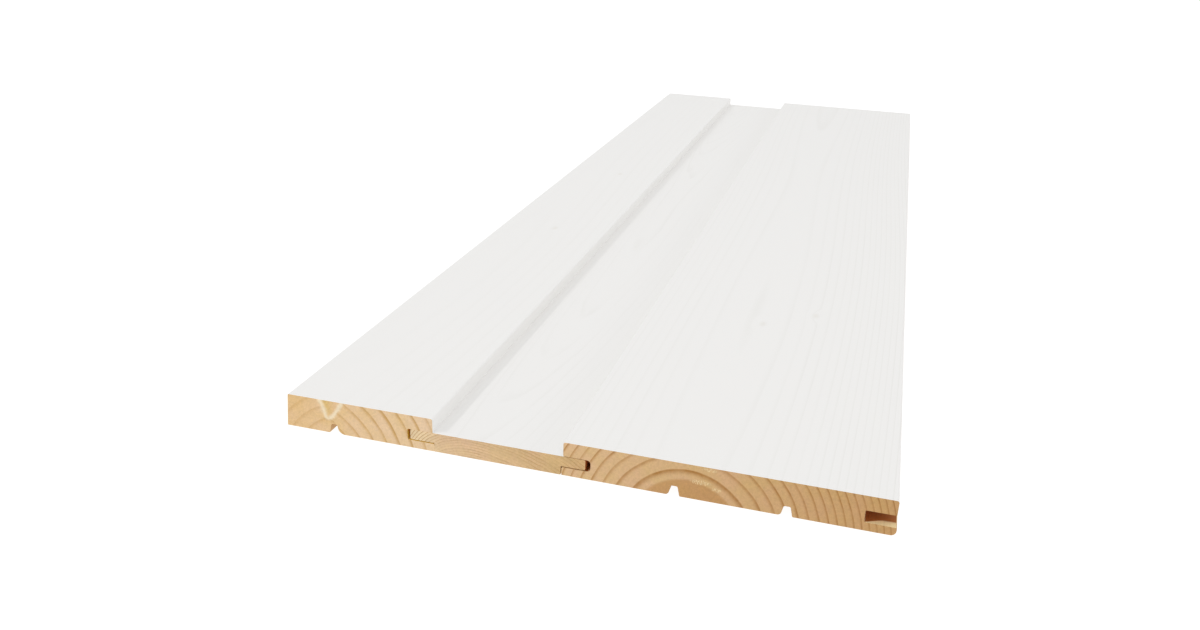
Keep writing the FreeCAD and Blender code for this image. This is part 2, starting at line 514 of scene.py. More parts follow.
    def nearness(self, branch: Branch, reach: float) -> Socket:
        """Measures how near each point is to a branch.

        Args:
            branch: the branch.
            reach: how many of its radii away from it the answer falls to 0.

        Returns:
            1 at the branch's middle, falling smoothly to 0.
        """
        add = self.wires.add
        apart = add("VectorMath", {0: self.place, 1: (branch.x, branch.y, 0.0)}, operation="SUBTRACT")
        apart = add("VectorMath", {0: apart, 1: (1.0, 1 / self.knot_length, 0.0)}, operation="MULTIPLY")
        away = add("VectorMath", {0: apart}, "Value", operation="LENGTH")
        return add("MapRange", {"Value": away, "From Max": reach * branch.radius, **FALLING},
                   interpolation_type="SMOOTHERSTEP")

    def summer_wood(self) -> Socket:
        """Finds the dark summer wood, which deepens slowly through a ring and ends sharply.

        Returns:
            The share of it at each point.
        """
        add = self.wires.add
        growth = self.growth
        peak = self.summer_peak
        deepen = add("MapRange", {"Value": self.phase, "From Min": self.summer_start, "From Max": peak},
                     interpolation_type="SMOOTHSTEP")
        year = add("Math", {0: self.count}, operation="FLOOR")
        tolerance = 0.5
        strong = add("Math", {0: year, 1: float(growth.strong_year), 2: tolerance}, operation="COMPARE")
        gather = add("MapRange", {"Value": strong, "To Min": self.gather, "To Max": self.strong_gather})
        deepen = add("Math", {0: deepen, 1: gather}, operation="POWER")
        stop = add("MapRange", {"Value": self.phase, "From Min": peak, "From Max": 1.0, **FALLING})
        band = add("Math", {0: deepen, 1: stop}, operation="MULTIPLY")
        if growth.heart_radius:
            ends = {"From Min": growth.heart_radius - self.heart_margin, "From Max": growth.heart_radius}
            outside = add("MapRange", {"Value": self.radius, **ends})
            band = add("Math", {0: band, 1: outside}, operation="MULTIPLY")
        vigour = add("TexWhiteNoise", {"W": year}, "Value", noise_dimensions="1D")
        vigour = add("MapRange", {"Value": vigour, "To Min": self.vigour[0], "To Max": self.vigour[1]})
        strong = add("Math", {0: strong, 1: self.strong_vigour}, operation="MULTIPLY")
        vigour = add("Math", {0: vigour, 1: strong}, operation="MAXIMUM")
        vigour = add("Math", {0: vigour, 1: self.crisp}, operation="MAXIMUM")
        band = add("Math", {0: band, 1: vigour}, operation="MULTIPLY")
        if growth.spike:
            spike = growth.spike
            ends = {"From Min": spike.face_x - spike.ring_blur, "From Max": spike.face_x + spike.ring_blur}
            soft = add("MapRange", {"Value": self.x, **ends, "To Min": spike.left_rings})
            band = add("Math", {0: band, 1: soft}, operation="MULTIPLY")
        fading = self.patches(self.fade_width)
        ends = {"From Min": self.fade_spread[0], "From Max": self.fade_spread[1]}
        patch = add("MapRange", {"Value": fading, **ends, "To Min": 1.0 - growth.fade})
        patch = add("Math", {0: patch, 1: self.crisp}, operation="MAXIMUM")
        return add("Math", {0: band, 1: patch}, operation="MULTIPLY")

    def patches(self, width: float) -> Socket:
        """Lays soft patches through the piece, drawn out along it.

        Args:
            width: about how wide a patch is across the piece.

        Returns:
            The patches as a noise.
        """
        add = self.wires.add
        rate = (1 / width, 1 / (self.patch_length * width), 1 / width)
        broad = add("VectorMath", {0: self.place, 1: rate}, operation="MULTIPLY")
        return add("TexNoise", {"Vector": broad, "Scale": 1.0, "Detail": 2.0})

    def fibres(self) -> Socket:
        """Lays fine lengthwise fibres, which show as specks on a sawn end.

        Returns:
            The fibres as a noise.
        """
        add = self.wires.add
        rate = (1 / self.fibre_width, 1 / self.fibre_length, 1 / self.fibre_width)
        fine = add("VectorMath", {0: self.place, 1: rate}, operation="MULTIPLY")
        return add("TexNoise", {"Vector": fine, "Scale": 1.0, "Detail": 3.0, "Roughness": 0.6})

    def vary(self, wood: Socket, pattern: Socket, change: float, spread: tuple[float, float]) -> Socket:
        """Lightens and darkens a colour by a pattern.

        Args:
            wood: the colour.
            pattern: the pattern.
            change: how much lighter and darker the colour gets.
            spread: values of the pattern at which it is darkest and lightest.

        Returns:
            The colour with the pattern in it.
        """
        add = self.wires.add
        tone = {"From Min": spread[0], "From Max": spread[1], "To Min": 1.0 - change, "To Max": 1.0 + change}
        shade = add("MapRange", {"Value": pattern, **tone})
        return add("VectorMath", {0: wood, "Scale": shade}, operation="SCALE")


@dataclass(frozen=True)
class BarePine:
    """Pine with nothing on it, either planed along the grain or sawn across it.

    It is dull, with a darker line along the outside of each ring, fibres that glint a little lighter and
    darker, and brown knots. Planed wood is paler than an end, where the eye looks into the open fibres.

    Args:
        name: what the surface is.
        paleness: share of the pale shade that planing brings out.
        painted_groove_shade: share of the piece's painted groove shade that is laid over the wood inside a
            groove.
        unshaded_ends: how far in from the crosscuts a groove's surface is left without its painted shade, at
            the groove's mouth, where light falls in from the end.
        painted_kerf_shade: share of the summer wood's colour painted over the kerf walls as painted shade,
            for the little light that gets into a kerf.
        specks: how much lighter and darker the open fibres of an end are in spots.
        mark_pitch: usual distance between the marks of the saw or cutter, or 0 for none.
        mark_depth: depth of those marks.
        mark_tone: how much lighter and darker those marks are.
        mark_bow: how far a mark bows along the piece for each square millimetre of height.
        roughness: how much the surface scatters what it reflects.
        gloss: how much it reflects, as the shader's specular level.
        ring_relief: how high the summer wood stands, next to the fibres.
        relief_strength: share of that relief that shows.
        relief_depth: depth of that relief.
        glint: how much lighter and darker the fibres are.
        glint_spread: values of the fibres' noise at which they are darkest and lightest.
        speck_width: width of a spot on an end, a little coarser than the real ones.
        blush_width: width of the pinker patches.
        blush_spread: values of those patches between which the wood turns pinker.
        crisp_paleness: share of the pale shade in the crisp wood.
        year_run: years in a run that is lighter or darker.
        knot_reach: how many of its radii away from a branch its colour ends.
        heart_blur: width of the heart's soft edge.
        heart_share: share of the heart's colour.
        unshaded_mouth: depth in the groove up to which the whole of unshaded_ends is left without painted
            shade.
        unshaded_floor: depth at which the unshaded part would be narrowest, a little past the groove's
            floor, where the groove's wall shades more of it.
        unshaded_narrowest: share of unshaded_ends that is left without painted shade there.
        unshaded_blur: share of the unshaded part over which the painted shade comes in.
        pale_shade: sRGB colour of planed wood.
        knot_shade: sRGB colour of a knot.
        spike_shade: sRGB colour of a spike knot's left half.
        spike_blush: sRGB colour of a spike knot's right half.
        rim_shade: sRGB colour of a spike knot's rim.
        heart_shade: sRGB colour of the heart.
        torn_shade: sRGB colour of a torn fleck.
    """

    name: str
    paleness: float = 0.0
    painted_groove_shade: float = 0.0
    unshaded_ends: float = 0.0
    painted_kerf_shade: float = 0.0
    specks: float = 0.0
    mark_pitch: float = 0.0
    mark_depth: float = 0.0
    mark_tone: float = 0.0
    mark_bow: float = 0.0
    roughness: float = 0.6
    gloss: float = 0.25
    ring_relief: float = 0.6
    relief_strength: float = 0.5
    relief_depth: float = 0.06
    glint: float = 0.08
    glint_spread: tuple[float, float] = (0.25, 0.75)
    speck_width: float = 1.1
    blush_width: float = 9.0
    blush_spread: tuple[float, float] = (0.35, 0.65)
    crisp_paleness: float = 0.55
    year_run: float = 2.5
    knot_reach: float = 1.3
    heart_blur: float = 1.4
    heart_share: float = 0.6
    unshaded_mouth: float = 4.0
    unshaded_floor: float = 12.4
    unshaded_narrowest: float = 0.1
    unshaded_blur: float = 0.1
    pale_shade: str = "F8E2B4"
    knot_shade: str = "9C6A3C"
    spike_shade: str = "E8C888"
    spike_blush: str = "F1CEA2"
    rim_shade: str = "FFF1D8"
    heart_shade: str = "C48E4C"
    torn_shade: str = "F6DCAC"

    def make(self, piece: str, growth: Growth, low: Vector, high: Vector) -> bpy.types.Material:
        """Makes the material.

        Args:
            piece: name of the piece that wears it.
            growth: how the piece lay in its log.
            low: the piece's lowest corner.
            high: the piece's highest corner.

        Returns:
            The material.
        """
        material = new_material(f"{self.name}_{piece}")
        wires = Wiring(material.node_tree)
        add = wires.add
        grain = Grain(wires, growth, low, high)
        wood = self.cut_colour(grain, self.log_colour(grain))
        height = add("Math", {0: grain.late, 1: self.ring_relief, 2: grain.fibre}, operation="MULTIPLY_ADD")
        relief = add("Bump", {"Height": height, "Strength": self.relief_strength,
                              "Distance": self.relief_depth * MM})
        if self.mark_pitch:
            marks = self.cutter_marks(grain)
            wood = grain.vary(wood, marks, self.mark_tone, (0.0, 1.0))
            relief = add("Bump", {"Height": marks, "Distance": self.mark_depth * MM, "Normal": relief})
        wires.feed(material.node_tree.nodes[SHADER], {
            "Base Color": wood, "Roughness": self.roughness, "Specular IOR Level": self.gloss,
            "Normal": relief})
        return material

    def log_colour(self, grain: Grain) -> Socket:
        """Colours the wood as it grew: its rings, its heart, its knots and its torn patches.

        Args:
            grain: the piece's grain.

        Returns:
            The colour.
        """
        add = grain.wires.add
        growth = grain.growth
        spread = {"From Min": self.blush_spread[0], "From Max": self.blush_spread[1]}
        pinker = add("MapRange", {"Value": grain.patches(self.blush_width), **spread})
        spring = {UNDER: linear(growth.early), OVER: linear(growth.blush)}
        wood = add("Mix", {SHARE: pinker, **spring}, MIXED, data_type="RGBA")
        crisp = add("Math", {0: grain.crisp, 1: self.crisp_paleness}, operation="MULTIPLY")
        pale = linear(self.pale_shade)
        wood = add("Mix", {SHARE: crisp, UNDER: wood, OVER: pale}, MIXED, data_type="RGBA")
        if growth.year_tone:
            wood = self.show_years(grain, wood)
        if growth.heart_radius:
            wood = self.show_heart(grain, wood)
        summer = linear(growth.late)
        wood = add("Mix", {SHARE: grain.late, UNDER: wood, OVER: summer}, MIXED, data_type="RGBA")
        knot = linear(self.knot_shade)
        for branch in growth.branches:
            core = grain.nearness(branch, self.knot_reach)
            wood = add("Mix", {SHARE: core, UNDER: wood, OVER: knot}, MIXED, data_type="RGBA")
        if growth.spike:
            wood = self.show_spike(grain, growth.spike, wood)
        for patch in growth.torn:
            wood = self.show_torn(grain, patch, wood)
        return wood

    def cut_colour(self, grain: Grain, wood: Socket) -> Socket:
        """Gives the wood the tints of its place in the panel and of the tool that cut it.

        Args:
            grain: the piece's grain.
            wood: colour of the wood as it grew.

        Returns:
            The colour of the cut surface.
        """
        add = grain.wires.add
        growth = grain.growth
        across = add("MapRange", {"Value": grain.x, "From Min": grain.low.x, "From Max": grain.high.x})
        sides = {UNDER: linear(growth.left_tint), OVER: linear(growth.right_tint)}
        tint = add("Mix", {SHARE: across, **sides}, MIXED, data_type="RGBA")
        wood = add("VectorMath", {0: wood, 1: tint}, operation="MULTIPLY")
        # paleness of planed wood, then painted shade in the kerfs
        for share, shade in ((self.paleness, self.pale_shade), (self.painted_kerf_shade, growth.late)):
            wood = add("Mix", {SHARE: share, UNDER: wood, OVER: linear(shade)}, MIXED, data_type="RGBA")
        # painted shade over the wood inside the grooves, where little light reaches
        if self.painted_groove_shade:
            wood = self.paint_groove_shade(grain, wood)
        wood = grain.vary(wood, grain.fibre, self.glint, self.glint_spread)
        if self.specks:
            spots = add("TexNoise", {"Vector": grain.place, "Scale": 1 / self.speck_width, "Detail": 2.0})
            wood = grain.vary(wood, spots, self.specks, NOISE_SPREAD)
        return wood

    def cutter_marks(self, grain: Grain) -> Socket:
        """Lays the uneven marks that a saw or planer leaves across the grain.

        Args:
            grain: the piece's grain.

        Returns:
            The marks, from 0 to 1.
        """
        add = grain.wires.add
        square = add("Math", {0: grain.z, 1: grain.z}, operation="MULTIPLY")
        bowed = add("Math", {0: square, 1: self.mark_bow, 2: grain.y}, operation="MULTIPLY_ADD")
        place = add("Math", {0: bowed, 1: 1 / self.mark_pitch}, operation="MULTIPLY")
        marks = add("TexNoise", {"W": place, "Scale": 1.0, "Detail": 1.0}, noise_dimensions="1D")
        return add("MapRange", {"Value": marks, "From Min": NOISE_SPREAD[0], "From Max": NOISE_SPREAD[1]})

    def paint_groove_shade(self, grain: Grain, wood: Socket) -> Socket:
        """Paints shade over the wood inside a groove, where little light gets in, but not near the
        crosscuts, where light falls in.

        Args:
            grain: the piece's grain.
            wood: colour of the wood elsewhere.

        Returns:
            The colour inside the groove, with its painted shade.
        """
        add = grain.wires.add
        inside: float | Socket = self.painted_groove_shade
        # near the crosscuts the painted shade is left off where light falls in; that band narrows towards
        # the groove's floor
        if self.unshaded_ends:
            behind = add("Math", {0: grain.high.y, 1: grain.y}, operation="SUBTRACT")
            inwards = add("Math", {0: grain.along, 1: behind}, operation="MINIMUM")
            deep = add("Math", {0: grain.high.x, 1: grain.x}, operation="SUBTRACT")
            depths = {"From Min": self.unshaded_mouth, "From Max": self.unshaded_floor}
            reaches = {"To Min": self.unshaded_ends, "To Max": self.unshaded_narrowest * self.unshaded_ends}
            unshaded_reach = add("MapRange", {"Value": deep, **depths, **reaches}, interpolation_type="SMOOTHSTEP")
            past = add("Math", {0: inwards, 1: unshaded_reach}, operation="DIVIDE")
            ends = {"From Min": 1.0 - self.unshaded_blur, "From Max": 1.0 + self.unshaded_blur}
            inside = add("MapRange", {"Value": past, **ends, "To Max": self.painted_groove_shade})
        # colour of the painted groove shade
        shade = linear(grain.growth.painted_groove_shade)
        return add("Mix", {SHARE: inside, UNDER: wood, OVER: shade}, MIXED, data_type="RGBA")

    def show_years(self, grain: Grain, wood: Socket) -> Socket:
        """Lightens and darkens runs of a few years.

        Args:
            grain: the piece's grain.
            wood: colour of the wood without them.

        Returns:
            The colour with the runs in it.
        """
        add = grain.wires.add
        run = add("Math", {0: grain.count, 1: 1 / self.year_run}, operation="MULTIPLY")
        runs = add("TexNoise", {"W": run, "Scale": 1.0, "Detail": 1.0}, noise_dimensions="1D")
        return grain.vary(wood, runs, grain.growth.year_tone, NOISE_SPREAD)

    def show_heart(self, grain: Grain, wood: Socket) -> Socket:
        """Darkens the heart of the log, with a soft edge.

        Args:
            grain: the piece's grain.
            wood: colour of the wood round it.

        Returns:
            The colour with the heart in it.
        """
        add = grain.wires.add
        edge = grain.growth.heart_radius
        ends = {"From Min": edge - self.heart_blur, "From Max": edge}
        shares = {"To Min": self.heart_share, "To Max": 0.0}
        inside = add("MapRange", {"Value": grain.radius, **ends, **shares}, interpolation_type="SMOOTHSTEP")
        shade = linear(self.heart_shade)
        return add("Mix", {SHARE: inside, UNDER: wood, OVER: shade}, MIXED, data_type="RGBA")

    def show_torn(self, grain: Grain, patch: TornPatch, wood: Socket) -> Socket:
        """Scatters the pale flecks of a torn patch over the wood at the front end.

        Args:
            grain: the piece's grain.
            patch: the patch.
            wood: colour of the wood round it.

        Returns:
            The colour with the flecks in it.
        """
        add = grain.wires.add
        apart = add("VectorMath", {0: grain.place, 1: (patch.x, 0.0, patch.z)}, operation="SUBTRACT")
        rate = (1 / patch.half_width, 0.0, 1 / patch.half_height)
        apart = add("VectorMath", {0: apart, 1: rate}, operation="MULTIPLY")
        away = add("VectorMath", {0: apart}, "Value", operation="LENGTH")
        there = add("MapRange", {"Value": away, "From Min": patch.core, "From Max": 1.0, **FALLING})
        rate = (1 / patch.fleck_width, 0.0, 1 / patch.fleck_height)
        strokes = add("VectorMath", {0: grain.place, 1: rate}, operation="MULTIPLY")
        strokes = add("TexNoise", {"Vector": strokes, "Scale": 1.0, "Detail": 1.0})
        ends = {"From Min": patch.fleck_spread[0], "From Max": patch.fleck_spread[1]}
        strokes = add("MapRange", {"Value": strokes, **ends})
        near = add("MapRange", {"Value": grain.along, "From Max": patch.depth, **FALLING})
        flecks = add("Math", {0: strokes, 1: there}, operation="MULTIPLY")
        flecks = add("Math", {0: flecks, 1: near}, operation="MULTIPLY")
        shade = linear(self.torn_shade)
        return add("Mix", {SHARE: flecks, UNDER: wood, OVER: shade}, MIXED, data_type="RGBA")

    def show_spike(self, grain: Grain, spike: SpikeKnot, wood: Socket) -> Socket:
        """Draws a spike knot with its pale rim over the wood.

        Args:
            grain: the piece's grain.
            spike: the knot.
            wood: colour of the wood round it.

        Returns:
            The colour with the knot in it.
        """
        add = grain.wires.add
        up = add("MapRange", {"Value": grain.z, "From Min": spike.apex_z, "From Max": spike.face_z})
        middle = add("Mix", {"Factor": up, "A": spike.apex_x, "B": spike.face_x})
        flare = add("Math", {0: up, 1: spike.flare}, operation="POWER")
        half = add("Math", {0: flare, 1: spike.face_half_width}, operation="MULTIPLY")
        steps = {"To Min": -spike.raggedness, "To Max": spike.raggedness}
        ragged = add("MapRange", {"Value": grain.patches(spike.ragged_width), **steps})
        side = add("Math", {0: grain.x, 1: middle}, operation="SUBTRACT")
        side = add("Math", {0: side, 1: ragged}, operation="ADD")
        aside = add("Math", {0: side}, operation="ABSOLUTE")
        past = add("Math", {0: aside, 1: half}, operation="SUBTRACT")
        inside = add("MapRange", {"Value": past, "From Min": -spike.edge_blur, "From Max": 0.0, **FALLING})
        rim = add("Math", {0: past}, operation="ABSOLUTE")
        ends = {"From Max": spike.rim_width, "To Min": spike.rim_share, "To Max": 0.0}
        rim = add("MapRange", {"Value": rim, **ends}, interpolation_type="SMOOTHSTEP")
        ends = {"From Min": spike.apex_z - spike.fade_under, "From Max": spike.apex_z + spike.fade_over}
        above = add("MapRange", {"Value": grain.z, **ends})
        near = add("MapRange", {"Value": grain.along, "From Max": spike.length, **FALLING})
        there = add("Math", {0: above, 1: near}, operation="MULTIPLY")
        inside = add("Math", {0: inside, 1: there}, operation="MULTIPLY")
        rim = add("Math", {0: rim, 1: there}, operation="MULTIPLY")
        right = add("MapRange", {"Value": side, "From Min": -spike.half_blur, "From Max": spike.half_blur})
        halves = {UNDER: linear(self.spike_shade), OVER: linear(self.spike_blush)}
        knot = add("Mix", {SHARE: right, **halves}, MIXED, data_type="RGBA")
        wood = add("Mix", {SHARE: inside, UNDER: wood, OVER: knot}, MIXED, data_type="RGBA")
        return add("Mix", {SHARE: rim, UNDER: wood, OVER: linear(self.rim_shade)}, MIXED, data_type="RGBA")


@dataclass(frozen=True)
class SatinPaint:
    """Water-based white paint, sprayed on planed pine in a thin coat.

    It is an even off-white with a soft sheen. The summer wood under it stands a little proud and takes a
    little less paint, so the rings show as faint lines along the boards.

    Args:
        name: what the surface is.
        full: sRGB colour of the full coat.
        thin: sRGB colour of the coat over the summer wood.
        knot_shade: sRGB colour of the coat over a knot.
        knot_reach: how many of its radii away from a branch that colour ends.
        line_gather: power that narrows the lines of the summer wood.
        fibre_relief: how high the fibres stand, next to those lines.
        relief_strength: share of that relief that shows.
        relief_depth: depth of that relief.
        smoothest: least roughness of the coat.
        roughest: largest roughness of the coat.
    """

    name: str = "satin_white_paint"
    full: str = "F6F5F3"
    thin: str = "F0EFEC"
    knot_shade: str = "F0EEEA"
    knot_reach: float = 1.8
    line_gather: float = 1.4
    fibre_relief: float = 0.25
    relief_strength: float = 0.4
    relief_depth: float = 0.03
    smoothest: float = 0.38
    roughest: float = 0.52

    def make(self, piece: str, growth: Growth, low: Vector, high: Vector) -> bpy.types.Material:
        """Makes the material.

        Args:
            piece: name of the piece that wears it.
            growth: how the piece lay in its log.
            low: the piece's lowest corner.
            high: the piece's highest corner.

        Returns:
            The material.
        """
        material = new_material(f"{self.name}_{piece}")
        wires = Wiring(material.node_tree)
        add = wires.add
        grain = Grain(wires, growth, low, high)
        hard = add("Math", {0: grain.late, 1: self.line_gather}, operation="POWER")
        right_half = {"From Min": (low.x + high.x) / 2, "From Max": high.x}
        strengths = {"To Min": growth.telegraph, "To Max": growth.right_telegraph}
        shows = add("MapRange", {"Value": grain.x, **right_half, **strengths})
        lines = add("Math", {0: hard, 1: shows}, operation="MULTIPLY")
        coats = {UNDER: linear(self.full), OVER: linear(self.thin)}
        coat = add("Mix", {SHARE: lines, **coats}, MIXED, data_type="RGBA")
        knot = linear(self.knot_shade)
        for branch in growth.branches:
            core = grain.nearness(branch, self.knot_reach)
            coat = add("Mix", {SHARE: core, UNDER: coat, OVER: knot}, MIXED, data_type="RGBA")
        height = add("Math", {0: grain.fibre, 1: self.fibre_relief, 2: lines}, operation="MULTIPLY_ADD")
        relief = add("Bump", {"Height": height, "Strength": self.relief_strength,
                              "Distance": self.relief_depth * MM})
        rough = add("MapRange", {"Value": grain.fibre, "To Min": self.smoothest, "To Max": self.roughest})
        wires.feed(material.node_tree.nodes[SHADER], {
            "Base Color": coat, "Roughness": rough, "Normal": relief})
        return material


# Boards and strip


class Side(IntEnum):
    """The two sides across the panel, as the way that x goes."""

    LEFT = -1
    RIGHT = 1


@dataclass(frozen=True)
class Corner:
    """Corner of a section, with the radius that it is rounded to.

    Args:
        x: its place across the panel.
        z: its height above the back.
        radius: its rounding.
    """

    x: float
    z: float
    radius: float = 0.0


@dataclass(frozen=True)
class Profile:
    """Sizes of the joint that all three pieces share.

    Args:
        board_thickness: thickness of a board.
        strip_thickness: thickness of the strip.
        groove_low: height of a groove's lower side above the back.
        groove_depth: depth of a groove from the edge of its back lip.
        back_lip_reach: how far a back lip stands out past the face lip.
        tongue_low: height of a tongue's lower side above the back.
        tongue_length: how far a tongue stands out from its shoulder.
        kerf_depth: depth of a relief kerf.
        kerf_mouth_width: width of a kerf at the back.
        kerf_top_width: width of a kerf at its top.
        kerf_lip: height under which a face by a kerf belongs to the back.
        kerf_from_joint: distance of a kerf's middle from the face lip at a joint.
        kerf_from_free_edge: distance of a kerf's middle from the face lip at the free edge.
        rip_lean: how far the rip cut leans in from the back to the face.
        face_radius: rounding of a board's face at its grooved edges.
        sawn_radius: rounding of the rip cut's edges.
        back_lip_radius: rounding of a back lip inside the groove.
        joint_back_radius: rounding of a back lip at the back, at a joint.
        free_back_radius: rounding of a back lip at the back, at the free edge.
        floor_radius: rounding of a groove's floor.
        joint_floor_radius: rounding of the floor of the full board's groove at the joint.
        tip_radius: rounding of a tongue's tip.
        shoulder_radius: rounding of the strip's back at its shoulders.
        kerf_top_radius: rounding of a kerf's top.
        kerf_lead_radius: larger rounding of a kerf's mouth.
        worn_kerf_radius: larger rounding of the worn kerf's mouth.
        kerf_trail_radius: smaller rounding of a kerf's mouth.
    """

    board_thickness: float = 14.0
    strip_thickness: float = 8.0
    groove_low: float = 3.3
    groove_depth: float = 11.2
    back_lip_reach: float = 0.6
    tongue_low: float = 3.7
    tongue_length: float = 10.0
    kerf_depth: float = 4.0
    kerf_mouth_width: float = 4.2
    kerf_top_width: float = 2.4
    kerf_lip: float = 0.02
    kerf_from_joint: float = 42.3
    kerf_from_free_edge: float = 37.0
    rip_lean: float = 1.2
    face_radius: float = 0.8
    sawn_radius: float = 0.3
    back_lip_radius: float = 0.5
    joint_back_radius: float = 0.15
    free_back_radius: float = 1.98
    floor_radius: float = 0.5
    joint_floor_radius: float = 1.5
    tip_radius: float = 0.6
    shoulder_radius: float = 0.15
    kerf_top_radius: float = 0.6
    kerf_lead_radius: float = 1.4
    worn_kerf_radius: float = 2.8
    kerf_trail_radius: float = 0.4


@dataclass
class MilledPiece:
    """Piece of one section along its whole length, over the CAD node of the same name.

    Args:
        node: name of its CAD node.
        growth: how it lay in its log.
        profile: sizes of the joint.
        groove_high: height of a groove's upper side above the back.
        face_lip_radius: rounding of a face lip inside the groove.
        unshaded_shelf: how far in from the crosscuts a groove's lower side is left without painted shade,
            where light falls in, or 0 for nowhere.
        end_ease: how far the edges of the crosscut ends are eased.
        lengths: number of lengths that it is divided into.
        arc_segments: number of flats in a rounding.
        crease_degrees: least turn between two faces that shows as a crease.
    """

    node: str
    growth: Growth
    profile: Profile
    groove_high: float = 8.1
    face_lip_radius: float = 0.25
    unshaded_shelf: float = 0.0
    end_ease: float = 0.08
    lengths: int = 28
    arc_segments: int = 5
    crease_degrees: float = 30.0

    def __post_init__(self) -> None:
        """Reads where the CAD node lies, in millimetres."""
        low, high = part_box(self.node)
        self.low = Vector(low) / MM
        self.high = Vector(high) / MM

    def corners(self) -> list[Corner]:
        """Corners of the section, in order round it."""
        raise NotImplementedError

    def kerf_middles(self) -> tuple[float, ...]:
        """Middles of the relief kerfs across the panel."""
        return ()

    def is_end(self, normal: Vector) -> bool:
        """Whether a face with this normal is part of a crosscut end or its eased edge."""
        return abs(normal.y) > FACING

    def finish_of(self, centre: Vector, normal: Vector) -> Finish:
        """Chooses the finish of a face.

        Args:
            centre: the face's middle, in millimetres.
            normal: the way that it faces.

        Returns:
            Its finish.
        """
        if self.is_end(normal):
            return Finish.END
        if centre.z > self.groove_high:
            return Finish.PAINT
        shape = self.profile
        reach = shape.kerf_mouth_width / 2 + shape.worn_kerf_radius
        by_kerf = any(abs(centre.x - middle) < reach for middle in self.kerf_middles())
        # kerf walls get the finish with painted shade
        if by_kerf and centre.z > shape.kerf_lip:
            return Finish.KERF
        # shelves and groove walls get finishes with painted shade over their wood, for the shade inside a
        # groove
        if abs(centre.z - shape.groove_low) < shape.back_lip_radius and normal.z > SQUARE:
            return Finish.SHELF
        in_groove = centre.z > shape.groove_low and normal.z < FACING
        return Finish.GROOVE if in_groove else Finish.BARE

    def kerf(self, middle: float, lead: Side, lead_radius: float) -> list[Corner]:
        """Corners of a relief kerf in the back, in the order of a section that is drawn with x rising.

        Args:
            middle: its middle across the panel.
            lead: the side of its larger mouth radius.
            lead_radius: that radius.

        Returns:
            Its four corners.
        """
        shape = self.profile
        mouth = shape.kerf_mouth_width / 2
        top = shape.kerf_top_width / 2
        radii = (shape.kerf_trail_radius, lead_radius)[::lead]
        return [
            Corner(middle - mouth, 0.0, radii[0]),
            Corner(middle - top, shape.kerf_depth, shape.kerf_top_radius),
            Corner(middle + top, shape.kerf_depth, shape.kerf_top_radius),
            Corner(middle + mouth, 0.0, radii[1]),
        ]

    def groove(self, back_lip: float, side: Side, back_radius: float, floor_radius: float) -> list[Corner]:
        """Corners of a grooved edge from its back lip up to its face.

        Args:
            back_lip: where the back lip ends across the panel.
            side: the side that the groove opens to.
            back_radius: rounding of the back lip at the back.
            floor_radius: rounding of the groove's floor.

        Returns:
            Its six corners.
        """
        shape = self.profile
        face_lip = back_lip - side * shape.back_lip_reach
        floor = back_lip - side * shape.groove_depth
        return [
            Corner(back_lip, 0.0, back_radius),
            Corner(back_lip, shape.groove_low, shape.back_lip_radius),
            Corner(floor, shape.groove_low, floor_radius),
            Corner(floor, self.groove_high, floor_radius),
            Corner(face_lip, self.groove_high, self.face_lip_radius),
            Corner(face_lip, shape.board_thickness, shape.face_radius),
        ]

    def build(self) -> bpy.types.Object:
        """Builds the piece, dresses it, hangs it on the body and hides its CAD node.

        Returns:
            The piece's object.
        """
        shape = bmesh.new()
        self.draw_section(shape)
        self.run_along(shape)
        self.ease_ends(shape)
        self.mark_finishes(shape)
        piece = add_object(f"{self.node}_piece", shape)
        flats = piece.modifiers.new("even shading", "WEIGHTED_NORMAL")
        flats.keep_sharp = True
        self.dress(piece.data)
        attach(piece, BODY)
        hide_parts(self.node)
        return piece

    def draw_section(self, shape: bmesh.types.BMesh) -> None:
        """Draws the section at the front end and rounds its corners.

        Args:
            shape: the empty bmesh to draw it in.
        """
        start = self.low.y + self.end_ease
        corners = self.corners()
        points = [shape.verts.new(Vector((corner.x, start, corner.z)) * MM) for corner in corners]
        shape.faces.new(points)
        for point, corner in zip(points, corners):
            if corner.radius:
                arms = [edge.other_vert(point).co - point.co for edge in point.link_edges]
                setback = corner.radius * MM / math.tan(arms[0].angle(arms[1]) / 2)
                bmesh.ops.bevel(shape, geom=[point], offset=setback, offset_type="OFFSET", affect="VERTICES",
                                segments=self.arc_segments, profile=0.5, material=-1)

    def run_along(self, shape: bmesh.types.BMesh) -> None:
        """Runs the section the length of the piece, less the easing of its ends, in short lengths.

        Args:
            shape: the bmesh with the section in it.
        """
        reach = (self.high.y - self.low.y - 2 * self.end_ease) * MM
        grown = bmesh.ops.extrude_face_region(shape, geom=list(shape.faces), use_keep_orig=True)
        far = [item for item in grown["geom"] if isinstance(item, bmesh.types.BMVert)]
        bmesh.ops.translate(shape, verts=far, vec=(0.0, reach, 0.0))
        bmesh.ops.recalc_face_normals(shape, faces=list(shape.faces))
        lengthwise = [edge for edge in shape.edges if edge.calc_length() > reach / 2]
        bmesh.ops.subdivide_edges(shape, edges=lengthwise, cuts=self.lengths - 1, use_grid_fill=True)

    def ease_ends(self, shape: bmesh.types.BMesh) -> None:
        """Takes the sharpness off the crosscut ends.

        Args:
            shape: the bmesh of the whole piece.
        """
        ends = [face for face in shape.faces if self.is_end(face.normal)]
        bmesh.ops.inset_region(shape, faces=ends, thickness=self.end_ease * MM, depth=self.end_ease * MM,
                               use_boundary=True, use_even_offset=True)

    def mark_finishes(self, shape: bmesh.types.BMesh) -> None:
        """Gives each face its finish, and keeps the creases between faces crisp.

        Args:
            shape: the bmesh of the whole piece.
        """
        shape.normal_update()
        crease = math.radians(self.crease_degrees)
        for face in shape.faces:
            face.material_index = self.finish_of(face.calc_center_median() / MM, face.normal).value
            face.smooth = True
        for edge in shape.edges:
            edge.smooth = edge.calc_face_angle(0.0) < crease

